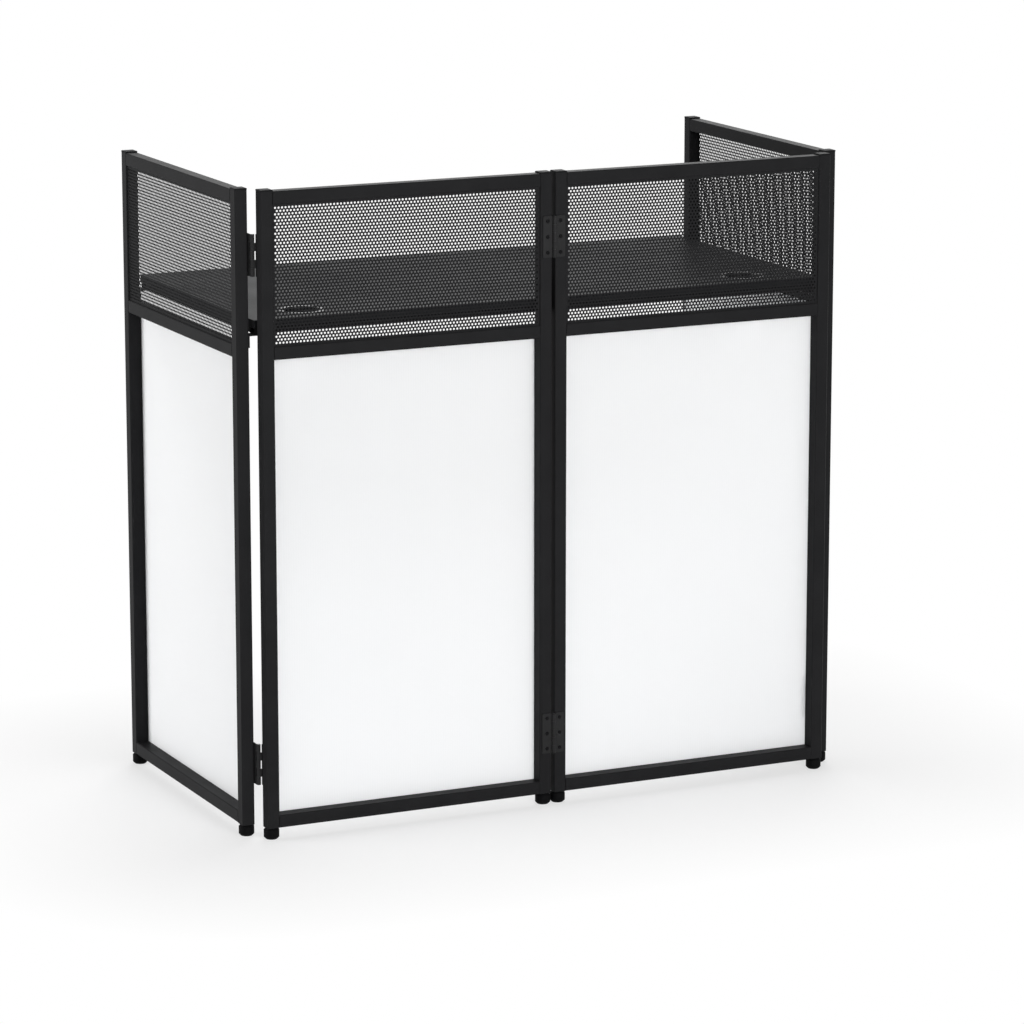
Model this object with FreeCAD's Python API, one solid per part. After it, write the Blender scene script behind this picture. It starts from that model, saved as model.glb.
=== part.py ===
import FreeCAD, Part
import math
import os

# Folding disc jockey booth: four framed panels hinged in a row, and a tabletop that lifts out.
# Millimetres, +Z up. X runs along the front, Y from the front to the user's side.
# The origin is on the floor, in the middle of the booth's footprint.

# Overall sizes
booth_height = 1250.0         # floor to the top of the end caps
front_panel_width = 600.0     # each of the two front panels
side_panel_width = 600.0      # each side panel, front to back
centre_gap = 7.0              # between the two front panels
corner_gap_x = 9.5            # side panel's inner face, outboard of the front panel's end
corner_gap_y = 17.0           # side panel's front end, behind the front panel's back face

# Square steel tube of the panels
tube = 25.0
tube_wall = 1.5
tube_corner = 1.5             # flat that stands for the rounded outer corners
upper_window_height = 268.0   # clear height between the middle and top rails

# Plastic caps in the tops of the uprights, and rubber feet in their lower ends
cap_head = 3.0
cap_chamfer = 1.0
plug_depth = 14.0
plug_clearance = 0.2          # between a plug and the bore of its tube
foot_height = 22.0
foot_radius = 15.0
foot_bottom_chamfer = 4.0
foot_shoulder = 4.0           # narrows the foot where it meets the tube

# Perforated steel sheet in the upper window of each panel, with staggered holes
mesh_thickness = 0.6
mesh_recess = 3.0             # behind the outer face of the tubes
mesh_border = 12.0            # least plain margin round the holes
mesh_pitch = 68.0             # drawn coarse, as the real pitch of about 7 needs thousands of holes
mesh_hole_radius_share = 0.4  # of the pitch, to a hole's corners, which leaves about half open
mesh_hole_sides = 6

# White stretch cloth behind the lower opening, held to the back of the tubes by hook tape
scrim_thickness = 1.0
scrim_lap = 12.0              # onto the tubes on all four sides, and the tape's width
tape_thickness = 1.5
notch_clearance = 3.0         # round the lower corner hinge, where cloth and tape are cut away

# Butt hinges: one pair on each of the three lines between panels
hinge_height = 80.0
hinge_from_end = 122.0        # middle of a hinge, from the end of its upright
leaf_thickness = 2.0
leaf_grip = 20.0              # width of the leaf that lies on the tube
leaf_clearance = 0.4          # between a leaf's edge and the other leaf's knuckles
knuckle_radius = 4.0
knuckle_gap = 0.4
knuckle_count = 5
knuckle_sides = 12            # flats that stand for the round of the barrels and their bores
pin_radius = 2.25
pin_clearance = 0.05          # running fit between a pin and the flats of its bore

# Tabletop: a laminated board on a flat steel underframe
table_above_rail = 46.0       # working surface, above the top of the middle rails
table_depth = 600.0
table_front_clearance = 15.0  # behind the front panels, so that it lifts out past the corner hinges
table_side_clearance = 9.5    # from the side panels' inner faces
board_thickness = 15.0
board_chamfer = 1.0
underframe_width = 25.0
underframe_height = 12.0
underframe_wall = 1.2
underframe_inset = 2.0        # from the edges of the board

# Cable grommets, set flush in the board
cable_hole_inset_x = 130.0    # hole's middle, from the board's end
cable_hole_inset_y = 80.0     # hole's middle, from the board's front edge
cable_hole_radius = 40.0
grommet_wall = 4.0
grommet_flange = 5.0          # width of the flange, outside the hole
grommet_flange_thickness = 3.0
grommet_clearance = 0.2

# Angle brackets on the side panels' uprights, which carry the tabletop
bracket_reach = 40.0
bracket_drop = 25.0
bracket_width = 20.0
bracket_thickness = 3.0
bracket_toe_radius = 8.0      # rounds the free corners of the shelf
table_seat_clearance = 0.2    # between the shelf and the underframe

# One overrun serves every cut
overrun = 1.0

# Places that follow from the sizes above
tube_bore = tube - 2 * tube_wall
tube_middle = tube / 2
upright_top = booth_height - cap_head
upright_length = upright_top - foot_height
bottom_rail_top = foot_height + tube
top_rail_bottom = upright_top - tube
middle_rail_top = top_rail_bottom - upper_window_height
middle_rail_bottom = middle_rail_top - tube
hinge_middles = (foot_height + hinge_from_end, upright_top - hinge_from_end)
lower_hinge_middle = hinge_middles[0]
scrim_bottom = bottom_rail_top - scrim_lap
scrim_top = middle_rail_bottom + scrim_lap
side_inner_x = centre_gap / 2 + front_panel_width + corner_gap_x
side_outer_x = side_inner_x + tube
side_front_y = tube + corner_gap_y
corner_axis_x = side_inner_x - knuckle_radius
corner_axis_y = tube + knuckle_radius
table_half = side_inner_x - table_side_clearance
table_front_y = tube + table_front_clearance
table_rear_y = table_front_y + table_depth
table_height = middle_rail_top + table_above_rail
board_bottom = table_height - board_thickness
table_bottom = board_bottom - underframe_height
cable_hole_x = table_half - cable_hole_inset_x
cable_hole_y = table_front_y + cable_hole_inset_y
foot_overhang = max(foot_radius - tube_middle, 0)
front_reach = max(2 * knuckle_radius, foot_overhang)
rear_reach = side_front_y + side_panel_width + foot_overhang
footprint_middle_y = (rear_reach - front_reach) / 2

origin = FreeCAD.Vector(0, 0, 0)
along_x = FreeCAD.Vector(1, 0, 0)
along_y = FreeCAD.Vector(0, 1, 0)
along_z = FreeCAD.Vector(0, 0, 1)
quarter_turn = 90
half_turn = 180


def block(x0, x1, y0, y1, z0, z1):
    """Box between two corners."""
    return Part.makeBox(x1 - x0, y1 - y0, z1 - z0, FreeCAD.Vector(x0, y0, z0))


def edges_along(solid, direction):
    """Straight edges of a solid that run along one direction."""
    found = []
    for edge in solid.Edges:
        run = (edge.lastVertex().Point - edge.firstVertex().Point).normalize()
        if abs(run.dot(direction)) > math.cos(math.radians(1)):
            found.append(edge)
    return found


def standing_tube(width, depth, wall, corner, length):
    """Hollow tube that stands on the origin's corner, with its outer corners taken off."""
    outer = Part.makeBox(width, depth, length)
    outer = outer.makeChamfer(corner, edges_along(outer, along_z))
    bore = block(wall, width - wall, wall, depth - wall, -overrun, length + overrun)
    return outer.cut(bore)


def lying_tube(width, height, wall, corner, length):
    """The same tube laid along +X, with its lower front corner at the origin."""
    bar = standing_tube(height, width, wall, corner, length)
    bar.rotate(origin, along_y, quarter_turn)
    bar.translate(FreeCAD.Vector(0, 0, height))
    return bar


def moved(shape, x, y, z):
    """Copy of a shape, moved."""
    copy = shape.copy()
    copy.translate(FreeCAD.Vector(x, y, z))
    return copy


def mirrored(shape):
    """Left-hand copy of a right-hand shape."""
    return shape.mirror(origin, along_x)


def plug(bottom):
    """Square plug that fills the bore of an upright from the given height."""
    low = tube_wall + plug_clearance
    high = tube - low
    return block(low, high, low, high, bottom, bottom + plug_depth)


def end_cap():
    """Cap with a bevelled head on the upright's end and a plug in its bore."""
    head = block(0, tube, 0, tube, upright_top, booth_height)
    rim = []
    for edge in head.Edges:
        if edge.BoundBox.ZMin > upright_top + cap_head / 2:
            rim.append(edge)
    head = head.makeChamfer(cap_chamfer, rim)
    return head.fuse(plug(upright_top - plug_depth))


def foot():
    """Turned rubber foot with a square plug in the upright's bore."""
    flat = foot_radius - foot_bottom_chamfer
    neck = foot_radius - foot_shoulder
    outline = [
        FreeCAD.Vector(0, 0, 0),
        FreeCAD.Vector(flat, 0, 0),
        FreeCAD.Vector(foot_radius, 0, foot_bottom_chamfer),
        FreeCAD.Vector(foot_radius, 0, foot_height - foot_shoulder),
        FreeCAD.Vector(neck, 0, foot_height),
        FreeCAD.Vector(0, 0, foot_height),
        FreeCAD.Vector(0, 0, 0),
    ]
    pad = Part.Face(Part.makePolygon(outline)).revolve(origin, along_z, 2 * half_turn)
    pad.translate(FreeCAD.Vector(tube_middle, tube_middle, 0))
    return pad.fuse(plug(foot_height))


def hole_outline(x, z, radius, y):
    """Outline of one mesh hole, with a corner pointing up."""
    corners = []
    for step in range(mesh_hole_sides + 1):
        angle = 2 * math.pi * step / mesh_hole_sides
        corners.append(FreeCAD.Vector(x + radius * math.sin(angle), y, z + radius * math.cos(angle)))
    return Part.makePolygon(corners)


def mesh_sheet(width):
    """Perforated sheet that fills a panel's upper window, with every second row moved half a pitch."""
    left, right = tube, width - tube
    low, high = middle_rail_top, top_rail_bottom
    hole_radius = mesh_pitch * mesh_hole_radius_share
    row_pitch = mesh_pitch * math.sqrt(3) / 2
    columns = int((right - left - 2 * mesh_border - 2 * hole_radius) // mesh_pitch) + 1
    rows = int((high - low - 2 * mesh_border - 2 * hole_radius) // row_pitch) + 1
    outline = [
        FreeCAD.Vector(left, mesh_recess, low),
        FreeCAD.Vector(right, mesh_recess, low),
        FreeCAD.Vector(right, mesh_recess, high),
        FreeCAD.Vector(left, mesh_recess, high),
        FreeCAD.Vector(left, mesh_recess, low),
    ]
    wires = [Part.makePolygon(outline)]
    for row in range(rows):
        in_row = columns - row % 2
        z = (low + high) / 2 + (row - (rows - 1) / 2) * row_pitch
        for column in range(in_row):
            x = (left + right) / 2 + (column - (in_row - 1) / 2) * mesh_pitch
            wires.append(hole_outline(x, z, hole_radius, mesh_recess))
    face = Part.makeFace(wires, "Part::FaceMakerBullseye")
    return face.extrude(FreeCAD.Vector(0, mesh_thickness, 0))


def hinge_notch(width, at_far_end):
    """Room round the lower corner hinge's leaf on the back of a panel."""
    reach = leaf_grip + notch_clearance
    half = hinge_height / 2 + notch_clearance
    left = width - reach if at_far_end else -overrun
    right = width + overrun if at_far_end else reach
    back = tube + tape_thickness + scrim_thickness + overrun
    return block(left, right, tube - overrun, back, lower_hinge_middle - half, lower_hinge_middle + half)


def scrim(width, notch):
    """Flat cloth that laps onto the back of the tubes."""
    near = tube + tape_thickness
    left, right = tube - scrim_lap, width - tube + scrim_lap
    return block(left, right, near, near + scrim_thickness, scrim_bottom, scrim_top).cut(notch)


def hook_tape(width, notch):
    """Strips of hook tape under the edges of the cloth."""
    near, far = tube, tube + tape_thickness
    left, right = tube - scrim_lap, width - tube + scrim_lap
    strips = [
        block(left, right, near, far, scrim_bottom, bottom_rail_top),
        block(left, right, near, far, middle_rail_bottom, scrim_top),
        block(left, tube, near, far, bottom_rail_top, middle_rail_bottom),
        block(width - tube, right, near, far, bottom_rail_top, middle_rail_bottom),
    ]
    pieces = []
    for strip in strips:
        pieces.extend(strip.cut(notch).Solids)
    return Part.makeCompound(pieces)


def panel(width, near_name, far_name, hinge_at_far_end):
    """All pieces of one panel, with its near upright at the origin and its outer face on y = 0."""
    upright = standing_tube(tube, tube, tube_wall, tube_corner, upright_length)
    rail = lying_tube(tube, tube, tube_wall, tube_corner, width - 2 * tube)
    notch = hinge_notch(width, hinge_at_far_end)
    far = width - tube
    return {
        near_name + "_upright": moved(upright, 0, 0, foot_height),
        far_name + "_upright": moved(upright, far, 0, foot_height),
        "bottom_rail": moved(rail, tube, 0, foot_height),
        "middle_rail": moved(rail, tube, 0, middle_rail_bottom),
        "top_rail": moved(rail, tube, 0, top_rail_bottom),
        "mesh": mesh_sheet(width),
        "scrim": scrim(width, notch),
        "hook_tape": hook_tape(width, notch),
        "caps": Part.makeCompound([end_cap(), moved(end_cap(), far, 0, 0)]),
        "feet": Part.makeCompound([foot(), moved(foot(), far, 0, 0)]),
    }


def rod(radius, bottom, length):
    """Many-sided rod about Z, with the given radius to its corners."""
    corners = []
    for step in range(knuckle_sides + 1):
        angle = 2 * math.pi * step / knuckle_sides
        corners.append(FreeCAD.Vector(radius * math.sin(angle), radius * math.cos(angle), bottom))
    return Part.Face(Part.makePolygon(corners)).extrude(FreeCAD.Vector(0, 0, length))


def hinge_leaf(tube_edge, first_knuckle):
    """Right-hand leaf about a pin on Z: its back lies on y = knuckle_radius and it runs along +X.

    tube_edge is the distance from the pin to the near edge of the tube, where the plate starts. The leaf
    has every second knuckle from the first one, and only these reach from the plate to the pin.
    """
    plate_edge = max(knuckle_radius + leaf_clearance, tube_edge)
    plate_front = knuckle_radius - leaf_thickness
    bottom = -hinge_height / 2
    knuckle = (hinge_height - (knuckle_count - 1) * knuckle_gap) / knuckle_count
    leaf = block(plate_edge, tube_edge + leaf_grip, plate_front, knuckle_radius, bottom, -bottom)
    for index in range(first_knuckle, knuckle_count, 2):
        low = bottom + index * (knuckle + knuckle_gap)
        barrel = rod(knuckle_radius, low, knuckle)
        wrap = block(0, plate_edge, plate_front, knuckle_radius, low, low + knuckle)
        leaf = leaf.fuse(barrel.fuse(wrap))
    bore_radius = (pin_radius + pin_clearance) / math.cos(math.pi / knuckle_sides)
    bore = rod(bore_radius, bottom - overrun, hinge_height + 2 * overrun)
    return leaf.cut(bore).removeSplitter()


def hinge_pin():
    """Pin as long as its hinge."""
    return Part.makeCylinder(pin_radius, hinge_height, FreeCAD.Vector(0, 0, -hinge_height / 2))


def hinge_pair(piece, x, y):
    """Upper and lower copies of a hinge piece, with their pins on one line."""
    return Part.makeCompound([moved(piece, x, y, middle) for middle in hinge_middles])


def tabletop():
    """Board with two cable holes, the tubes of its underframe and the grommets."""
    board = block(-table_half, table_half, table_front_y, table_rear_y, board_bottom, table_height)
    board = board.makeChamfer(board_chamfer, edges_along(board, along_z))
    flange_radius = cable_hole_radius + grommet_flange
    flange_bottom = table_height - grommet_flange_thickness
    grommets = []
    for x in (-cable_hole_x, cable_hole_x):
        base = FreeCAD.Vector(x, cable_hole_y, board_bottom)
        seat = FreeCAD.Vector(x, cable_hole_y, flange_bottom)
        liner_radius = cable_hole_radius - grommet_clearance
        liner = Part.makeCylinder(liner_radius, board_thickness, base)
        flange = Part.makeCylinder(flange_radius - grommet_clearance, grommet_flange_thickness, seat)
        opening = Part.makeCylinder(cable_hole_radius - grommet_wall, board_thickness, base)
        grommets.append(liner.fuse(flange).cut(opening).removeSplitter())
        board = board.cut(Part.makeCylinder(cable_hole_radius, board_thickness, base))
        board = board.cut(Part.makeCylinder(flange_radius, grommet_flange_thickness, seat))
    left = underframe_inset - table_half
    front = table_front_y + underframe_inset
    rear = table_rear_y - underframe_inset - underframe_width
    section = (underframe_width, underframe_height, underframe_wall, underframe_wall)
    long_bar = lying_tube(*section, -2 * left)
    short_bar = lying_tube(*section, rear - front - underframe_width)
    short_bar.rotate(origin, along_z, quarter_turn)
    short_front = front + underframe_width
    return {
        "tabletop_board": board,
        "tabletop_front_bar": moved(long_bar, left, front, table_bottom),
        "tabletop_rear_bar": moved(long_bar, left, rear, table_bottom),
        "tabletop_left_bar": moved(short_bar, left + underframe_width, short_front, table_bottom),
        "tabletop_middle_bar": moved(short_bar, underframe_width / 2, short_front, table_bottom),
        "tabletop_right_bar": moved(short_bar, -left, short_front, table_bottom),
        "cable_grommets": Part.makeCompound(grommets),
    }


def table_bracket(y):
    """Angle bracket on the inner face of a right-hand upright, with a shelf under the tabletop."""
    top = table_bottom - table_seat_clearance
    toe = side_inner_x - bracket_reach
    side = bracket_width / 2
    shelf = block(toe, side_inner_x, y - side, y + side, top - bracket_thickness, top)
    free_corners = []
    for edge in edges_along(shelf, along_z):
        if edge.BoundBox.XMax < side_inner_x - bracket_thickness:
            free_corners.append(edge)
    shelf = shelf.makeFillet(bracket_toe_radius, free_corners)
    wall = block(side_inner_x - bracket_thickness, side_inner_x, y - side, y + side, top - bracket_drop, top)
    return shelf.fuse(wall).removeSplitter()


def export(name, shape):
    """Writes one node, moved so that the origin is in the middle of the footprint."""
    moved(shape, 0, -footprint_middle_y, 0).exportStep("parts/" + name + ".step")


os.makedirs("parts", exist_ok=True)

# The four panels: each left-hand one is the mirror image of its right-hand one
front_panel = panel(front_panel_width, "centre", "outer", True)
for piece_name, piece in front_panel.items():
    right_piece = moved(piece, centre_gap / 2, 0, 0)
    export("front_right_" + piece_name, right_piece)
    export("front_left_" + piece_name, mirrored(right_piece))

side_panel = panel(side_panel_width, "front", "rear", False)
for piece_name, piece in side_panel.items():
    right_piece = piece.copy()
    right_piece.rotate(origin, along_z, quarter_turn)
    right_piece.translate(FreeCAD.Vector(side_outer_x, side_front_y, 0))
    export("right_side_" + piece_name, right_piece)
    export("left_side_" + piece_name, mirrored(right_piece))

# Centre hinges, on the front faces of the two middle uprights
centre_right_leaf = hinge_leaf(centre_gap / 2, 1)
centre_left_leaf = mirrored(hinge_leaf(centre_gap / 2, 0))
export("centre_hinge_right_leaves", hinge_pair(centre_right_leaf, 0, -knuckle_radius))
export("centre_hinge_left_leaves", hinge_pair(centre_left_leaf, 0, -knuckle_radius))
export("centre_hinge_pins", hinge_pair(hinge_pin(), 0, -knuckle_radius))

# Corner hinges, on the back of the front panel and the inner face of the side panel
corner_front_leaf = hinge_leaf(corner_gap_x - knuckle_radius, 1)
corner_front_leaf.rotate(origin, along_z, half_turn)
corner_side_leaf = mirrored(hinge_leaf(corner_gap_y - knuckle_radius, 0))
corner_side_leaf.rotate(origin, along_z, -quarter_turn)
corner_pieces = {
    "corner_hinge_front_leaves": corner_front_leaf,
    "corner_hinge_side_leaves": corner_side_leaf,
    "corner_hinge_pins": hinge_pin(),
}
for piece_name, piece in corner_pieces.items():
    right_piece = hinge_pair(piece, corner_axis_x, corner_axis_y)
    export("right_" + piece_name, right_piece)
    export("left_" + piece_name, mirrored(right_piece))

# Brackets on the side panels, then the tabletop that rests on them
front_bracket_y = side_front_y + tube_middle
rear_bracket_y = side_front_y + side_panel_width - tube_middle
right_brackets = Part.makeCompound([table_bracket(front_bracket_y), table_bracket(rear_bracket_y)])
export("right_table_brackets", right_brackets)
export("left_table_brackets", mirrored(right_brackets))
for piece_name, piece in tabletop().items():
    export(piece_name, piece)
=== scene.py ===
import math

import bmesh
import bpy
import numpy as np
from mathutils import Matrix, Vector
from mathutils.geometry import tessellate_polygon


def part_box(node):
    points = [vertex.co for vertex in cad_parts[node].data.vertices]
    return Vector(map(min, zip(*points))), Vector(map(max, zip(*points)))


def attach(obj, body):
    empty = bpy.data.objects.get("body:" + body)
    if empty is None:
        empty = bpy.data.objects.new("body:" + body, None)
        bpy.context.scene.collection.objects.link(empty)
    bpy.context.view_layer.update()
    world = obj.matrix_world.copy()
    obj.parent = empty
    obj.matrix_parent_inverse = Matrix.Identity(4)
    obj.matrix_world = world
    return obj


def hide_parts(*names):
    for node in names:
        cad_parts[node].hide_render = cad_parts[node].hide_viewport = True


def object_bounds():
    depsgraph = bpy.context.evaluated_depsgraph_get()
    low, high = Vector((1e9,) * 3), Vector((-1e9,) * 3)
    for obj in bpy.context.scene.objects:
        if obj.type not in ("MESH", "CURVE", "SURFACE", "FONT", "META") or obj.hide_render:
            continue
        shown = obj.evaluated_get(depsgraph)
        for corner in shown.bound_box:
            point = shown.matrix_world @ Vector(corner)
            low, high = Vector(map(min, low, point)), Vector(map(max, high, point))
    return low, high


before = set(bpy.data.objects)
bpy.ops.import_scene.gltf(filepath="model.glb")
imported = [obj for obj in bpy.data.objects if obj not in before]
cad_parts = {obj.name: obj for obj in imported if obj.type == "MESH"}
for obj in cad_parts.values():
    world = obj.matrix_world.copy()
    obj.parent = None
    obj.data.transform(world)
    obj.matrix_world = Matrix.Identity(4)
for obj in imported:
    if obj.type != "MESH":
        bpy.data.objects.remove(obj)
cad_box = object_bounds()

# Panel frames: uprights and rails of square steel tube, butted and welded with the seams ground flush,
# then powder-coated black as one frame. The coat is satin, and flows into a faint orange-peel ripple.
mm = 0.001
panel_uprights = {
    "front_left": ("centre_upright", "outer_upright"),
    "front_right": ("centre_upright", "outer_upright"),
    "left_side": ("front_upright", "rear_upright"),
    "right_side": ("front_upright", "rear_upright"),
}
panel_rails = ("bottom_rail", "middle_rail", "top_rail")
panels = tuple(panel_uprights)
tube_edge_round = 0.5 * mm
# Points closer than this are one point, and edges that turn by more than this angle are rounded.
weld_distance = 0.01 * mm
least_edge_turn = math.radians(25)
# The range that a noise pattern's values seldom leave.
noise_low = 0.3
noise_high = 0.7
# The numbers of a Mix node's sockets where it mixes colours: its factor, its two colours and its result.
mix_share = 0
mix_first = 6
mix_second = 7
mix_result = 2


def linear(hex_colour):
    """The linear colour, with alpha, of an sRGB hex value such as "1b1c1e"."""
    shares = [int(hex_colour[at:at + 2], 16) / 255 for at in (0, 2, 4)]
    return tuple(c / 12.92 if c <= 0.04045 else ((c + 0.055) / 1.055) ** 2.4 for c in shares) + (1.0,)


def feed(tree, node, inputs):
    """Gives a node's sockets what they take: a value, or another node's output."""
    for socket, value in inputs.items():
        if isinstance(value, bpy.types.NodeSocket):
            tree.links.new(value, node.inputs[socket])
        else:
            node.inputs[socket].default_value = value


def add_node(tree, kind, inputs=None, **settings):
    """Adds a node with its settings, and feeds its sockets."""
    made = tree.nodes.new(kind)
    for name, value in settings.items():
        setattr(made, name, value)
    feed(tree, made, inputs or {})
    return made


def new_material(name):
    """A new material, its node tree, its shader, and the place in the object that its patterns follow."""
    material = bpy.data.materials.new(name)
    material.use_nodes = True
    tree = material.node_tree
    place = add_node(tree, "ShaderNodeTexCoord").outputs["Object"]
    return material, tree, tree.nodes["Principled BSDF"], place


def powder_coat(name, dark, light, smoothest, roughest):
    """Polyester powder baked on steel: a deep black, with slow changes of gloss and a fine ripple."""
    # The low index stands for the matting agent in the coat, which takes away most of a resin's shine.
    coat_index = 1.08
    # The real ripple is about 2 mm across; it is drawn at 5 mm so that it shows at the render's size.
    ripple_size = 5 * mm
    ripple_height = 0.03 * mm
    cloud_size = 60 * mm
    material, tree, shader, place = new_material(name)
    cloud = add_node(tree, "ShaderNodeTexNoise",
                     {"Vector": place, "Scale": 1 / cloud_size, "Detail": 3.0})
    ripple = add_node(tree, "ShaderNodeTexNoise",
                      {"Vector": place, "Scale": 1 / ripple_size, "Detail": 1.0})
    tone = add_node(tree, "ShaderNodeMix",
                    {mix_share: cloud.outputs["Fac"], mix_first: linear(dark), mix_second: linear(light)},
                    data_type="RGBA")
    gloss = add_node(tree, "ShaderNodeMapRange",
                     {"Value": cloud.outputs["Fac"], "From Min": noise_low, "From Max": noise_high,
                      "To Min": smoothest, "To Max": roughest})
    bump = add_node(tree, "ShaderNodeBump",
                    {"Height": ripple.outputs["Fac"], "Distance": ripple_height})
    feed(tree, shader, {"IOR": coat_index, "Base Color": tone.outputs[mix_result],
                        "Roughness": gloss.outputs["Result"], "Normal": bump.outputs["Normal"]})
    return material


def finish_node(name, material, edge_round, edge_steps=2):
    """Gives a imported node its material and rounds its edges, so that they catch the light."""
    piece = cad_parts[name]
    piece.material_slots[0].material = material
    weld = piece.modifiers.new("join_faces", "WELD")
    weld.merge_threshold = weld_distance
    bevel = piece.modifiers.new("round_edges", "BEVEL")
    bevel.width = edge_round
    bevel.segments = edge_steps
    bevel.limit_method = "ANGLE"
    bevel.angle_limit = least_edge_turn
    bevel.harden_normals = True


frame_coat = powder_coat("powder_coat_satin_black", dark="1e1e1f", light="252526",
                         smoothest=0.3, roughest=0.4)
for panel in panels:
    for tube in panel_uprights[panel] + panel_rails:
        finish_node(f"{panel}_{tube}", frame_coat, tube_edge_round)

# End caps: moulded polyethylene plugs pressed into the tops of the uprights, with a chamfered square
# head. The mould was spark-eroded, which leaves a dull, even grain.
cap_edge_round = 0.4 * mm


def moulded_polymer(name, dark, light, roughness, ior, grain_size, grain_height):
    """Black plastic or rubber from a grained mould: a fine relief, with slight changes of tone."""
    material, tree, shader, place = new_material(name)
    grain = add_node(tree, "ShaderNodeTexNoise",
                     {"Vector": place, "Scale": 1 / grain_size, "Detail": 2.0})
    tone = add_node(tree, "ShaderNodeMix",
                    {mix_share: grain.outputs["Fac"], mix_first: linear(dark), mix_second: linear(light)},
                    data_type="RGBA")
    bump = add_node(tree, "ShaderNodeBump", {"Height": grain.outputs["Fac"], "Distance": grain_height})
    feed(tree, shader, {"IOR": ior, "Roughness": roughness, "Base Color": tone.outputs[mix_result],
                        "Normal": bump.outputs["Normal"]})
    return material


# The grain of a spark-eroded mould is about 0.3 mm; it is drawn at 2 mm so that it shows. Most of its
# shine is lost in the grain, so its index is low.
cap_plastic = moulded_polymer("polyethylene_spark_grain", dark="161617", light="1f1f20", roughness=0.5,
                              ior=1.1, grain_size=2 * mm, grain_height=0.03 * mm)
for panel in panels:
    finish_node(f"{panel}_caps", cap_plastic, cap_edge_round)

# Feet: round rubber feet with a rounded lower edge and a bevelled shoulder, plugged into the uprights'
# lower ends. Moulded black rubber is matt and near black, with a bloom that comes and goes.
foot_edge_round = 2.2 * mm
# The flecks of bloom are under 1 mm; they are drawn at 3 mm so that they show.
foot_rubber = moulded_polymer("moulded_rubber_black", dark="070708", light="0e0e0f", roughness=0.6,
                              ior=1.12, grain_size=3 * mm, grain_height=0.05 * mm)
for panel in panels:
    finish_node(f"{panel}_feet", foot_rubber, foot_edge_round, edge_steps=4)

# Perforated sheets: thin steel with staggered round holes, 4.2 mm across at a pitch of 7 mm, cut to the
# upper window, welded inside the frame and coated with it. The coat is duller on the narrow webs.
hole_diameter = 4.2 * mm
hole_pitch = 7.0 * mm
hole_corners = 10
cell_corners = 6
least_edge = 1.0 * mm
# Drawn thinner than the real sheet's 0.6 mm, so that its holes stay open when they are seen aslant.
sheet_thickness = 0.2 * mm
sheet_coat = powder_coat("powder_coat_perforated_sheet", dark="1f1f20", light="252526",
                         smoothest=0.4, roughest=0.5)


def loop_angles(count, first):
    """The angles, from the first one on, of a loop of evenly spaced corners."""
    return [first + 2 * math.pi * step / count for step in range(count)]


def ring_triangles(outer, inner):
    """Triangles between two loops round one centre, given by their angles; the inner is numbered on."""
    triangles = []
    i = j = 0
    while i < len(outer) or j < len(inner):
        next_outer = outer[i + 1] if i + 1 < len(outer) else outer[0] + 2 * math.pi
        next_inner = inner[j + 1] if j + 1 < len(inner) else inner[0] + 2 * math.pi
        here_outer, here_inner = i % len(outer), len(outer) + j % len(inner)
        if i < len(outer) and (j == len(inner) or next_outer <= next_inner):
            triangles.append((here_outer, (i + 1) % len(outer), here_inner))
            i += 1
        else:
            triangles.append((here_outer, len(outer) + (j + 1) % len(inner), here_inner))
            j += 1
    return triangles


def perforated_mesh(name, width, height):
    """A flat sheet across X and Z about the origin: six-sided cells round its holes, and a plain edge."""
    row_step = hole_pitch * math.sqrt(3) / 2
    cell_radius = hole_pitch / math.sqrt(3)
    columns = int((width - 2 * least_edge) / hole_pitch)
    rows = int((height - 2 * least_edge - 2 * cell_radius) / row_step) + 1
    centres = []
    for row in range(rows):
        count = columns - row % 2
        z = (row - (rows - 1) / 2) * row_step
        centres += [((column - (count - 1) / 2) * hole_pitch, z) for column in range(count)]
    centres = np.array(centres)[:, None, :]
    cell_angles = loop_angles(cell_corners, math.pi / cell_corners)
    hole_angles = loop_angles(hole_corners, math.pi / cell_corners)
    cell_loop = np.array([(math.cos(a), math.sin(a)) for a in cell_angles])
    hole_loop = np.array([(math.cos(a), math.sin(a)) for a in hole_angles])
    cell_points = (centres + cell_radius * cell_loop).reshape(-1, 2)
    hole_points = (centres + hole_diameter / 2 * hole_loop).reshape(-1, 2)
    # Neighbouring cells share their corners, so equal corners become one point.
    rounded = np.round(cell_points / weld_distance).astype(int)
    first, number = np.unique(rounded, axis=0, return_index=True, return_inverse=True)[1:]
    shared = cell_points[first]
    cell_numbers = number.reshape(-1, cell_corners)
    hole_numbers = len(shared) + np.arange(len(hole_points)).reshape(-1, hole_corners)
    both = np.hstack([cell_numbers, hole_numbers])
    faces = both[:, np.array(ring_triangles(cell_angles, hole_angles))].reshape(-1, 3)
    flat = np.vstack([shared, hole_points])
    mesh = bpy.data.meshes.new(name)
    mesh.from_pydata([(x, 0.0, z) for x, z in flat], [], faces.tolist())
    edit = bmesh.new()
    edit.from_mesh(mesh)
    edit.verts.ensure_lookup_table()
    border = [e for e in edit.edges if e.is_boundary and max(v.index for v in e.verts) < len(shared)]
    ways = ((-1, -1), (1, -1), (1, 1), (-1, 1))
    corners = [edit.verts.new((sx * width / 2, 0.0, sz * height / 2)) for sx, sz in ways]
    border += [edit.edges.new((corner, corners[at - 1])) for at, corner in enumerate(corners)]
    bmesh.ops.triangle_fill(edit, edges=border, normal=(0.0, -1.0, 0.0), use_beauty=True)
    bmesh.ops.recalc_face_normals(edit, faces=edit.faces)
    edit.to_mesh(mesh)
    edit.free()
    return mesh


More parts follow.
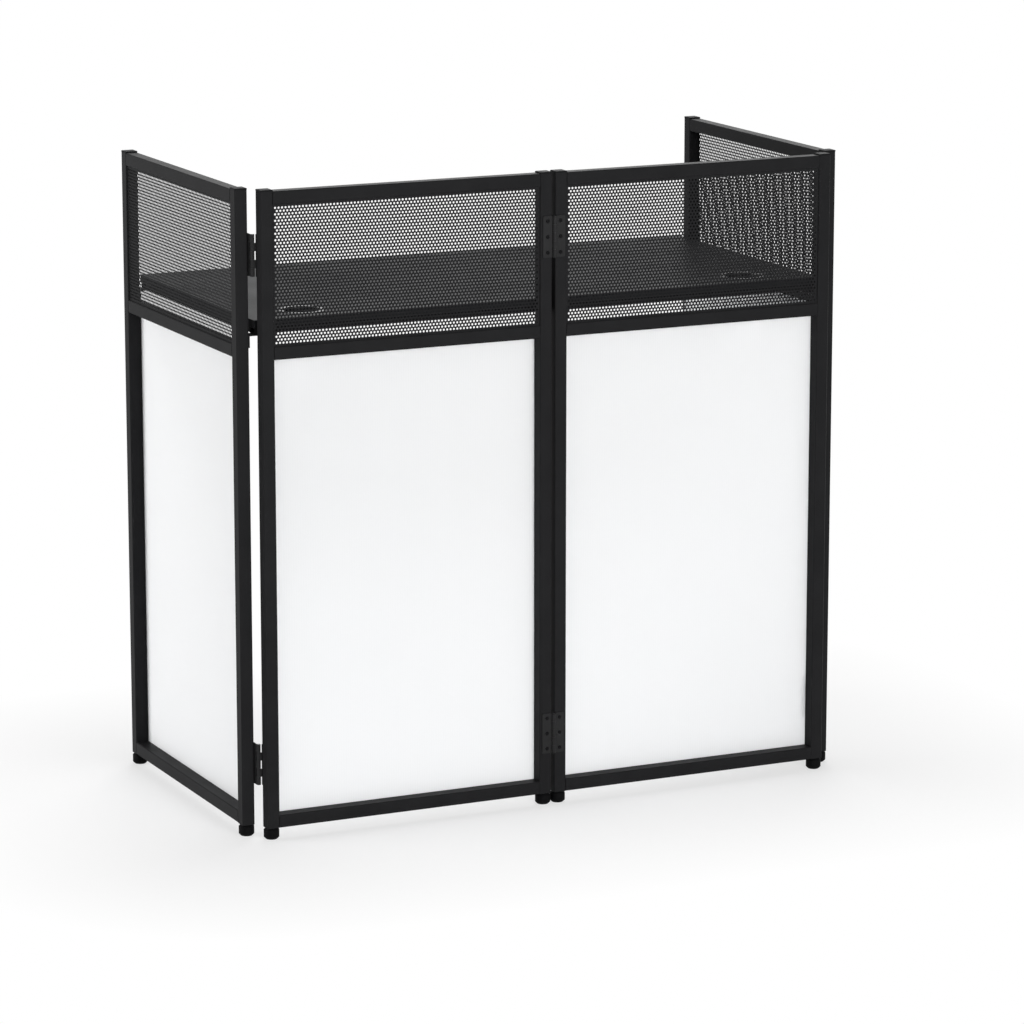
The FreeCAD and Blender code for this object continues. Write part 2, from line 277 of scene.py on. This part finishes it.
def add_piece(name, mesh, material, body, place=(0.0, 0.0, 0.0), turn=0.0):
    """Puts a mesh in the scene at a place, turned about the vertical, riding on a body."""
    if not mesh.materials:
        mesh.materials.append(material)
    made = bpy.data.objects.new(name, mesh)
    bpy.context.scene.collection.objects.link(made)
    made.location = place
    made.rotation_euler = (0.0, 0.0, turn)
    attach(made, body)
    return made


def thicken(piece, thickness):
    """Gives a flat piece its thickness, half to each side."""
    solid = piece.modifiers.new("thickness", "SOLIDIFY")
    solid.thickness = thickness
    solid.offset = 0.0


def panel_turn(panel):
    """Front panels lie along X; side panels are the same panel turned to lie along Y."""
    return 0.0 if panel.startswith("front") else math.pi / 2


low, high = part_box("front_left_mesh")
window_mesh = perforated_mesh("perforated_window", high.x - low.x, high.z - low.z)
for panel in panels:
    low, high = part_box(f"{panel}_mesh")
    piece = add_piece(f"{panel}_perforated_sheet", window_mesh, sheet_coat, f"{panel}_panel",
                      (low + high) / 2, panel_turn(panel))
    thicken(piece, sheet_thickness)
    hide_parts(f"{panel}_mesh")

# Hook tape: woven polyester tape, 1.5 mm thick, bonded to the backs of the tubes round each lower
# opening. Its hooks give a dull, ribbed black; only its edges show.
tape_roughness = 0.85
# A wave pattern turns by 20 radians in each metre at a scale of 1; this over a band's size is its scale.
wave_turn = 2 * math.pi / 20


def woven_tape(name, dark, light, rib_size, rib_height):
    """Black woven tape: dull, with close ribs across it."""
    material, tree, shader, place = new_material(name)
    ribs = add_node(tree, "ShaderNodeTexWave", {"Vector": place, "Scale": wave_turn / rib_size},
                    bands_direction="Z")
    tone = add_node(tree, "ShaderNodeMix",
                    {mix_share: ribs.outputs["Fac"], mix_first: linear(dark), mix_second: linear(light)},
                    data_type="RGBA")
    bump = add_node(tree, "ShaderNodeBump", {"Height": ribs.outputs["Fac"], "Distance": rib_height})
    feed(tree, shader, {"Roughness": tape_roughness, "Base Color": tone.outputs[mix_result],
                        "Normal": bump.outputs["Normal"]})
    return material


# The ribs are about 0.5 mm apart; they are drawn at 3 mm so that they show.
tape_cloth = woven_tape("hook_tape_woven_polyester", dark="101011", light="1d1d1e",
                        rib_size=3 * mm, rib_height=0.2 * mm)
for panel in panels:
    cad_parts[f"{panel}_hook_tape"].material_slots[0].material = tape_cloth

# Scrims: white stretch cloth, a warp knit of polyester and elastane, cut to reach half over the tubes
# with a notch at the lower corner hinge, hemmed on the user's side with two rows of grey thread, pulled
# taut and pressed on to the hook tape. It is matt and close to white.
scrim_cell = 16 * mm
scrim_thickness = 0.6 * mm
notch_clearance = 3 * mm
notch_width = 10 * mm
hinge_height = 80 * mm
hem_width = 10 * mm
hem_thickness = 0.5 * mm
thread_thickness = 0.3 * mm
thread_insets = (3 * mm, 8 * mm)
# A stitch is about 2.5 by 0.4 mm; it is drawn larger so that the rows show.
stitch_length = 6 * mm
stitch_gap = 2.5 * mm
stitch_width = 1 * mm
inward_ways = {
    "front_left": Vector((0, 1, 0)),
    "front_right": Vector((0, 1, 0)),
    "left_side": Vector((1, 0, 0)),
    "right_side": Vector((-1, 0, 0)),
}


def polyester_yarn(name, shade, light, row_size, row_height):
    """Knitted cloth or thread: matt, with rows of loops that shade it by a hair, and a soft sheen."""
    yarn_roughness = 0.9
    yarn_index = 1.3
    sheen_share = 0.08
    # Light spreads about this far in the cloth.
    spread = 2 * mm
    row_waver = 1.5
    material, tree, shader, place = new_material(name)
    rows = add_node(tree, "ShaderNodeTexWave",
                    {"Vector": place, "Scale": wave_turn / row_size, "Distortion": row_waver,
                     "Detail": 1.0},
                    bands_direction="X")
    tone = add_node(tree, "ShaderNodeMix",
                    {mix_share: rows.outputs["Fac"], mix_first: linear(shade), mix_second: linear(light)},
                    data_type="RGBA")
    bump = add_node(tree, "ShaderNodeBump", {"Height": rows.outputs["Fac"], "Distance": row_height})
    feed(tree, shader, {"Roughness": yarn_roughness, "IOR": yarn_index, "Sheen Weight": sheen_share,
                        "Subsurface Weight": 1.0, "Subsurface Radius": (1.0, 1.0, 1.0),
                        "Subsurface Scale": spread, "Base Color": tone.outputs[mix_result],
                        "Normal": bump.outputs["Normal"]})
    return material


def scrim_mesh(name, width, height, notch_side, notch_low, notch_high):
    """A taut cloth across X and Z about the origin, in small quads, with a notch in one upright edge."""
    notch_at = width / 2 - notch_width
    plain_columns = round((width - notch_width) / scrim_cell)
    across = np.append(np.linspace(-width / 2, notch_at, plain_columns + 1), width / 2)
    heights = (-height / 2, notch_low, notch_high, height / 2)
    up = [heights[0]]
    for below, above in zip(heights, heights[1:]):
        up += list(np.linspace(below, above, max(2, round((above - below) / scrim_cell) + 1))[1:])
    points = [(notch_side * x, 0.0, z) for z in up for x in across]
    faces = []
    for row in range(len(up) - 1):
        beside_notch = notch_low < (up[row] + up[row + 1]) / 2 < notch_high
        for column in range(plain_columns if beside_notch else plain_columns + 1):
            corner = row * len(across) + column
            faces.append((corner, corner + 1, corner + 1 + len(across), corner + len(across)))
    mesh = bpy.data.meshes.new(name)
    mesh.from_pydata(points, [], faces)
    mesh.shade_smooth()
    return mesh


def hem_patches(width, height, notch_side, notch_low, notch_high):
    """The strips of the hem round a cloth, left out at the notch: the ends of each in X and in Z."""
    x, z = width / 2, height / 2
    patches = [(-x, x, -z, hem_width - z), (-x, x, z - hem_width, z)]
    for side in (-1, 1):
        ends = sorted((side * x, side * (x - hem_width)))
        if side == notch_side:
            runs = ((hem_width - z, notch_low), (notch_high, z - hem_width))
        else:
            runs = ((hem_width - z, z - hem_width),)
        patches += [(*ends, *run) for run in runs]
    return patches


def stitch_patches(strips):
    """Rows of stitches along the hem's strips, each row set in from the cloth's edge."""
    patches = []
    for x0, x1, z0, z1 in strips:
        level = x1 - x0 > z1 - z0
        start, end, low, high = (x0, x1, z0, z1) if level else (z0, z1, x0, x1)
        for inset in thread_insets:
            line = low + inset if low < 0 else high - inset
            across = (line - stitch_width / 2, line + stitch_width / 2)
            for at in np.arange(start + stitch_gap, end - stitch_length, stitch_length + stitch_gap):
                along = (at, at + stitch_length)
                patches.append((*along, *across) if level else (*across, *along))
    return patches


def patches_mesh(name, patches):
    """Flat four-sided patches across X and Z."""
    points = []
    for x0, x1, z0, z1 in patches:
        points += [(x0, 0.0, z0), (x1, 0.0, z0), (x1, 0.0, z1), (x0, 0.0, z1)]
    mesh = bpy.data.meshes.new(name)
    mesh.from_pydata(points, [], [range(at, at + 4) for at in range(0, len(points), 4)])
    return mesh


# The knit's rows are about 1 mm apart, and are drawn at 5 mm so that they show; the thread's turns are
# about 0.3 mm long, and are drawn at 2 mm.
scrim_knit = polyester_yarn("polyester_elastane_knit_white", shade="f0f2f5", light="f2f4f7",
                            row_size=5 * mm, row_height=0.02 * mm)
thread = polyester_yarn("polyester_thread_grey", shade="c2c5ca", light="d0d3d7",
                        row_size=2 * mm, row_height=0.05 * mm)
for panel in panels:
    side = "left" if "left" in panel else "right"
    leaves = "side_leaves" if panel.endswith("side") else "front_leaves"
    hinge_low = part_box(f"{side}_corner_hinge_{leaves}")[0].z
    low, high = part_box(f"{panel}_scrim")
    middle = (low + high) / 2
    scrim_width = max(high.x - low.x, high.y - low.y)
    scrim_height = high.z - low.z
    # In the cloth's own X, the corner hinge is at the high end on the front's right half only.
    notch_side = 1 if panel == "front_right" else -1
    notch_low = hinge_low - notch_clearance - middle.z
    notch_high = hinge_low + hinge_height + notch_clearance - middle.z
    outline = (scrim_width, scrim_height, notch_side, notch_low, notch_high)
    piece = add_piece(f"{panel}_scrim_cloth", scrim_mesh(f"{panel}_scrim_cloth", *outline), scrim_knit,
                      f"{panel}_panel", middle, panel_turn(panel))
    thicken(piece, scrim_thickness)
    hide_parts(f"{panel}_scrim")
    strips = hem_patches(*outline)
    depth = scrim_thickness / 2
    for kind, patches, material, thickness in (
        ("hem", strips, scrim_knit, hem_thickness),
        ("stitches", stitch_patches(strips), thread, thread_thickness),
    ):
        name = f"{panel}_scrim_{kind}"
        place = middle + (depth + thickness / 2) * inward_ways[panel]
        sewn = add_piece(name, patches_mesh(name, patches), material, f"{panel}_panel",
                         place, panel_turn(panel))
        thicken(sewn, thickness)
        depth += thickness

# Hinges: steel butt hinges with five rolled knuckles and rounded leaf corners, coated black. Three
# countersunk screws with cross recesses hold each leaf, sunk just below its face, so that a dark ring
# shows round them.
knuckle_radius = 4 * mm
knuckle_bore = 2.3 * mm
knuckle_count = 5
knuckle_gap = 0.4 * mm
leaf_thickness = 2 * mm
leaf_grip = 20 * mm
leaf_clearance = 0.4 * mm
leaf_corner = 3 * mm
# From the pin's middle to the plate's outer face; its back, on the tube, is at the knuckle's radius.
plate_face = knuckle_radius - leaf_thickness
corner_steps = 6
arc_steps = 30
bore_steps = 24
sharp_from = math.radians(35)
screw_from_end = 9.5 * mm
screw_rises = (screw_from_end, hinge_height / 2, hinge_height - screw_from_end)
screw_steps = 20
screw_first_angle = math.pi / 8
screw_radius = 3.4 * mm
countersink_radius = 4.7 * mm
hole_radius = countersink_radius - leaf_thickness
# The head's rings, from its rim to the flat round the recess: radius, and depth below the leaf's face.
screw_rings = (
    (screw_radius, 1.3 * mm),
    (screw_radius, 0.5 * mm),
    (2.9 * mm, 0.2 * mm),
    (2.1 * mm, 0.05 * mm),
)
recess_reach = 1.7 * mm
recess_half = 0.45 * mm
recess_depth = 0.9 * mm
hinge_coat = powder_coat("electro_coat_hinge_steel", dark="292929", light="2f2f30",
                         smoothest=0.3, roughest=0.4)
screw_finish = powder_coat("black_zinc_screw_steel", dark="151516", light="1b1b1c",
                           smoothest=0.3, roughest=0.4)


def add_slab(parts, low_loops, high_loops):
    """Adds a slab between two flat outlines, each a list of loops of points: its rim, then its holes."""
    points, faces = parts
    first = len(points)
    count = sum(len(loop) for loop in low_loops)
    for level, loops in enumerate((low_loops, high_loops)):
        for corners in tessellate_polygon([[Vector(point) for point in loop] for loop in loops]):
            faces.append([first + level * count + corner for corner in corners])
        for loop in loops:
            points.extend(loop)
    for loop in low_loops:
        for at in range(len(loop)):
            a, b = first + at, first + (at + 1) % len(loop)
            faces.append((a, b, b + count, a + count))
        first += len(loop)


def add_knuckle(parts, plate_start, bottom, top):
    """One knuckle: a tongue of the plate, rolled into a barrel round the pin, which is at the origin."""
    roll_ends = 2 * math.pi + math.asin(plate_face / knuckle_radius)
    outline = [(plate_start, plate_face), (plate_start, knuckle_radius)]
    for angle in np.linspace(math.pi / 2, roll_ends, arc_steps + 1):
        outline.append((knuckle_radius * math.cos(angle), knuckle_radius * math.sin(angle)))
    bore = []
    for angle in loop_angles(bore_steps, 0.0):
        bore.append((knuckle_bore * math.cos(angle), knuckle_bore * math.sin(angle)))
    ends = [[[(x, y, z) for x, y in loop] for loop in (outline, bore)] for z in (bottom, top)]
    add_slab(parts, *ends)


def add_leaf(parts, plate_start, reach, bottom, knuckles, screw_places):
    """One leaf: a plate with two rounded corners and countersunk holes, and the knuckles of its own."""
    top = bottom + hinge_height
    outline = [(plate_start, bottom)]
    for centre_z, first in ((bottom + leaf_corner, -math.pi / 2), (top - leaf_corner, 0.0)):
        for angle in np.linspace(first, first + math.pi / 2, corner_steps + 1):
            outline.append((reach - leaf_corner + leaf_corner * math.cos(angle),
                            centre_z + leaf_corner * math.sin(angle)))
    outline.append((plate_start, top))
    sides = []
    for y, radius in ((knuckle_radius, hole_radius), (plate_face, countersink_radius)):
        loops = [[(x, y, z) for x, z in outline]]
        for screw_x, screw_z in screw_places:
            loops.append([(screw_x + radius * math.cos(a), y, screw_z + radius * math.sin(a))
                          for a in loop_angles(screw_steps, 0.0)])
        sides.append(loops)
    add_slab(parts, *sides)
    pitch = hinge_height / knuckle_count
    for knuckle in knuckles:
        low = bottom + knuckle * pitch
        add_knuckle(parts, plate_start, low + knuckle_gap / 2, low + pitch - knuckle_gap / 2)


def add_screw(parts, x, z):
    """A screw head in a countersink of the leaf's outer face, looking along -Y, with a cross recess."""
    points, faces = parts
    angles = loop_angles(screw_steps, screw_first_angle)
    for level, (radius, depth) in enumerate(screw_rings):
        start = len(points)
        points.extend([(x + radius * math.cos(a), plate_face + depth, z + radius * math.sin(a))
                       for a in angles])
        for at in range(screw_steps if level else 0):
            a, b = start + at, start + (at + 1) % screw_steps
            faces.append((a - screw_steps, b - screw_steps, b, a))
    # One quarter of the cross: an inner corner, and the two corners at the end of an arm.
    arm = ((recess_half, recess_half), (recess_half, recess_reach), (-recess_half, recess_reach))
    cross = []
    for quarter in range(4):
        cos, sin = math.cos(quarter * math.pi / 2), math.sin(quarter * math.pi / 2)
        cross += [(u * cos - v * sin, u * sin + v * cos) for u, v in arm]
    cross_angles = [math.atan2(v, u) % (2 * math.pi) for u, v in cross]
    for a, b, c in ring_triangles(angles, cross_angles):
        faces.append((start + a, start + b, start + c))
    rim, count = len(points), len(cross)
    flat_depth = screw_rings[-1][1]
    for depth in (flat_depth, flat_depth + recess_depth):
        points.extend([(x + u, plate_face + depth, z + v) for u, v in cross])
    for at in range(count):
        a, b = rim + at, rim + (at + 1) % count
        faces.append((b, a, a + count, b + count))
    faces.append([rim + count + at for at in range(count)])


def hinge_piece(name, parts, material, axis, reach_way, seat_way, body):
    """Turns leaves or screws made round the origin to their hinge: X to the reach, Y to the tube."""
    points, faces = parts
    placed = []
    for x, y, z in points:
        placed.append((axis.x + reach_way[0] * x + seat_way[0] * y,
                       axis.y + reach_way[1] * x + seat_way[1] * y, z))
    mesh = bpy.data.meshes.new(name)
    mesh.from_pydata(placed, [], faces)
    edit = bmesh.new()
    edit.from_mesh(mesh)
    bmesh.ops.recalc_face_normals(edit, faces=edit.faces)
    edit.to_mesh(mesh)
    edit.free()
    mesh.shade_smooth()
    mesh.set_sharp_from_angle(angle=sharp_from)
    return add_piece(name, mesh, material, body)


three_knuckles = (0, 2, 4)
two_knuckles = (1, 3)
# Each leaf's hinge, name and body, the ways in X and Y of its reach and of the tube it sits on, and its
# knuckles, counted from below.
hinge_leaves = (
    ("centre_hinge", "left", "front_left_panel", (-1, 0), (0, 1), three_knuckles),
    ("centre_hinge", "right", "front_right_panel", (1, 0), (0, 1), two_knuckles),
    ("left_corner_hinge", "front", "front_left_panel", (1, 0), (0, -1), two_knuckles),
    ("left_corner_hinge", "side", "left_side_panel", (0, 1), (-1, 0), three_knuckles),
    ("right_corner_hinge", "front", "front_right_panel", (-1, 0), (0, -1), two_knuckles),
    ("right_corner_hinge", "side", "right_side_panel", (0, 1), (1, 0), three_knuckles),
)
for hinge, leaf, body, reach_way, seat_way, knuckles in hinge_leaves:
    low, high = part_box(f"{hinge}_pins")
    axis = (low + high) / 2
    low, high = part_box(f"{hinge}_{leaf}_leaves")
    along = 0 if reach_way[0] else 1
    reach = max(abs(low[along] - axis[along]), abs(high[along] - axis[along]))
    # A side leaf's plate comes close to the barrel, and the others start at the edge of their tube.
    barrel_edge = knuckle_radius + leaf_clearance
    plate_start = barrel_edge if leaf == "side" else max(reach - leaf_grip, barrel_edge)
    leaf_parts, screw_parts = ([], []), ([], [])
    for bottom in (low.z, high.z - hinge_height):
        screw_places = [(reach - leaf_grip / 2, bottom + rise) for rise in screw_rises]
        add_leaf(leaf_parts, plate_start, reach, bottom, knuckles, screw_places)
        for x, z in screw_places:
            add_screw(screw_parts, x, z)
    ways = (axis, reach_way, seat_way, body)
    piece = hinge_piece(f"{hinge}_{leaf}_rolled_leaves", leaf_parts, hinge_coat, *ways)
    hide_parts(f"{hinge}_{leaf}_leaves")
    hinge_piece(f"{hinge}_{leaf}_screws", screw_parts, screw_finish, *ways)

# Hinge pins: drawn steel wire, cut to the length of the barrel and left bare under a film of oil. Only
# their ends show, as small grey discs, slightly mottled.
def oiled_steel(name, dark, light, roughness, film_size):
    """Bare drawn steel: grey metal, darker where the film of oil is thicker."""
    material, tree, shader, place = new_material(name)
    film = add_node(tree, "ShaderNodeTexNoise",
                    {"Vector": place, "Scale": 1 / film_size, "Detail": 2.0})
    tone = add_node(tree, "ShaderNodeMix",
                    {mix_share: film.outputs["Fac"], mix_first: linear(dark), mix_second: linear(light)},
                    data_type="RGBA")
    feed(tree, shader, {"Metallic": 1.0, "Roughness": roughness, "Base Color": tone.outputs[mix_result]})
    return material


pin_steel = oiled_steel("drawn_steel_oiled", dark="4a4b4d", light="6c6d70",
                        roughness=0.35, film_size=1.5 * mm)
for hinge in ("centre_hinge", "left_corner_hinge", "right_corner_hinge"):
    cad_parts[f"{hinge}_pins"].material_slots[0].material = pin_steel

# Tabletop: a 15 mm board faced and edged with black laminate, on a frame of flat steel tube, with two
# holes cut for cables. The laminate's fine pebble dulls it, and its eased edge catches the light.
board_edge_round = 2.0 * mm
bar_edge_round = 0.5 * mm


def pebbled_laminate(name, dark, light, smoothest, roughest, pebble_size, pebble_height):
    """Pressed laminate: black, dulled by the press plate's close pebble, with painted sheen in its tone.
    """
    # The low index stands for the shine that is lost among the pebbles.
    laminate_index = 1.08
    patch_size = 150 * mm
    material, tree, shader, place = new_material(name)
    patches = add_node(tree, "ShaderNodeTexNoise",
                       {"Vector": place, "Scale": 1 / patch_size, "Detail": 4.0})
    pebbles = add_node(tree, "ShaderNodeTexVoronoi", {"Vector": place, "Scale": 1 / pebble_size},
                       feature="SMOOTH_F1")
    # Painted sheen: the tone is paler where this is low, in broad patches and at the middle of each
    # pebble cell.
    shade = add_node(tree, "ShaderNodeMath", {0: patches.outputs["Fac"], 1: pebbles.outputs["Distance"]},
                     operation="MULTIPLY")
    tone = add_node(tree, "ShaderNodeMix",
                    {mix_share: shade.outputs[0], mix_first: linear(light), mix_second: linear(dark)},
                    data_type="RGBA")
    gloss = add_node(tree, "ShaderNodeMapRange",
                     {"Value": patches.outputs["Fac"], "From Min": noise_low, "From Max": noise_high,
                      "To Min": smoothest, "To Max": roughest})
    bump = add_node(tree, "ShaderNodeBump",
                    {"Height": pebbles.outputs["Distance"], "Distance": pebble_height})
    feed(tree, shader, {"IOR": laminate_index, "Base Color": tone.outputs[mix_result],
                        "Roughness": gloss.outputs["Result"], "Normal": bump.outputs["Normal"]})
    return material


# The press plate's pebble is about 1 mm; it is drawn at 4 mm so that it shows.
board_laminate = pebbled_laminate("laminate_pebbled_black", dark="060707", light="2c2d2f",
                                  smoothest=0.34, roughest=0.46, pebble_size=4 * mm,
                                  pebble_height=0.15 * mm)
finish_node("tabletop_board", board_laminate, board_edge_round, edge_steps=3)
for bar in ("front_bar", "rear_bar", "left_bar", "middle_bar", "right_bar"):
    finish_node(f"tabletop_{bar}", frame_coat, bar_edge_round)

# Cable grommets: moulded rings with a flange, pressed into the two holes of the board. They are
# glossier than the laminate, so their rims draw a thin bright line.
grommet_edge_round = 0.8 * mm
grommet_plastic = moulded_polymer("polystyrene_gloss_black", dark="131415", light="19191b",
                                  roughness=0.28, ior=1.5, grain_size=6 * mm, grain_height=0.01 * mm)
finish_node("cable_grommets", grommet_plastic, grommet_edge_round, edge_steps=3)

# Table brackets: bent steel angles welded to the side panels' uprights, with a rounded toe under the
# table's frame. They are coated with the frame they belong to.
bracket_edge_round = 0.4 * mm
for side in ("left", "right"):
    finish_node(f"{side}_table_brackets", frame_coat, bracket_edge_round)

# Floor: a plain white studio floor with no edge in sight. It keeps the object's soft shadow, which fades
# into plain white with the distance from the object's footprint.
floor_size = 60.0
floor_colour = "f4f4f4"
plain_white = "ffffff"
white_share = 0.62
shadow_reach = 0.6
footprint = Vector((cad_box[1][0], cad_box[1][1], 0.0))


def seen_not_lit(tree):
    """1 for the rays that look at a surface, straight or by gloss or glass; 0 for those that light it."""
    path = add_node(tree, "ShaderNodeLightPath")
    shown = path.outputs["Is Camera Ray"]
    for kind in ("Is Glossy Ray", "Is Transmission Ray"):
        either = add_node(tree, "ShaderNodeMath", {0: shown, 1: path.outputs[kind]}, operation="MAXIMUM")
        shown = either.outputs[0]
    return shown


half = floor_size / 2
floor_corners = [(-half, -half, 0.0), (half, -half, 0.0), (half, half, 0.0), (-half, half, 0.0)]
floor_mesh = bpy.data.meshes.new("studio_floor")
floor_mesh.from_pydata(floor_corners, [], [(0, 1, 2, 3)])
floor = bpy.data.objects.new("studio_floor", floor_mesh)
bpy.context.scene.collection.objects.link(floor)
floor_paint, tree, shader, place = new_material("studio_floor_paint")
tree.nodes.remove(shader)
one_quarter = add_node(tree, "ShaderNodeVectorMath", {0: place}, operation="ABSOLUTE")
past_edge = add_node(tree, "ShaderNodeVectorMath", {0: one_quarter.outputs[0], 1: footprint},
                     operation="SUBTRACT")
outside = add_node(tree, "ShaderNodeVectorMath", {0: past_edge.outputs[0]}, operation="MAXIMUM")
from_footprint = add_node(tree, "ShaderNodeVectorMath", {0: outside.outputs[0]}, operation="LENGTH")
far_white = add_node(tree, "ShaderNodeMapRange",
                     {"Value": from_footprint.outputs["Value"], "From Max": shadow_reach,
                      "To Min": white_share})
whiteness = add_node(tree, "ShaderNodeMath", {0: seen_not_lit(tree), 1: far_white.outputs["Result"]},
                     operation="MULTIPLY")
paint = add_node(tree, "ShaderNodeBsdfDiffuse", {"Color": linear(floor_colour)})
white = add_node(tree, "ShaderNodeEmission", {"Color": linear(plain_white), "Strength": 1.0})
both = add_node(tree, "ShaderNodeMixShader",
                {0: whiteness.outputs[0], 1: paint.outputs[0], 2: white.outputs[0]})
feed(tree, tree.nodes["Material Output"], {"Surface": both.outputs[0]})
floor_mesh.materials.append(floor_paint)

# Light: a white studio whose walls show white but light the object dimly. Most of the light comes from
# large soft lamps: low ones in front and at the left, which leave few shadows in sight, and a high one
# behind.
wall_light = 0.25
lamp_size = 4.5
lamp_target = Vector((0.0, 0.0, 0.6))
# Each lamp's name, azimuth and elevation in degrees, distance in metres, and power in watts.
lamps = (
    ("lamp_in_front", 0.0, 8.0, 8.0, 470.0),
    ("lamp_left", -110.0, 10.0, 8.0, 360.0),
    ("lamp_behind", 150.0, 40.0, 8.0, 300.0),
)


def put_and_aim(name, data, target, azimuth, elevation, distance):
    """Puts a lamp or camera at angles, 0 degrees in front, and a distance from a target, and aims it."""
    a, e = math.radians(azimuth), math.radians(elevation)
    away = Vector((math.sin(a) * math.cos(e), -math.cos(a) * math.cos(e), math.sin(e)))
    made = bpy.data.objects.new(name, data)
    bpy.context.scene.collection.objects.link(made)
    made.location = target + distance * away
    made.rotation_euler = (-away).to_track_quat("-Z", "Y").to_euler()
    return made


world = bpy.data.worlds.new("white_studio")
bpy.context.scene.world = world
world.use_nodes = True
tree = world.node_tree
wall = add_node(tree, "ShaderNodeMapRange", {"Value": seen_not_lit(tree), "To Min": wall_light})
feed(tree, tree.nodes["Background"], {"Color": linear(plain_white), "Strength": wall.outputs["Result"]})
for name, azimuth, elevation, distance, watts in lamps:
    light = bpy.data.lights.new(name, "AREA")
    light.shape = "DISK"
    light.size = lamp_size
    light.energy = watts
    put_and_aim(name, light, lamp_target, azimuth, elevation, distance).visible_camera = False

# Camera: the photograph's view, from the front left and above, with a long lens, whose focal length is
# given in pixels of the photograph's frame.
image_width = 1024
focal_pixels = 4480
sensor_width = 36.0
camera_target = Vector((0.062, 0.0, 0.518))
camera_azimuth = -25.3
camera_elevation = 12.2
camera_distance = 9.0
lens = bpy.data.cameras.new("photo_camera")
lens.sensor_width = sensor_width
lens.lens = focal_pixels / image_width * sensor_width
bpy.context.scene.camera = put_and_aim("photo_camera", lens, camera_target, camera_azimuth,
                                       camera_elevation, camera_distance)
bpy.context.scene.view_settings.view_transform = "Standard"
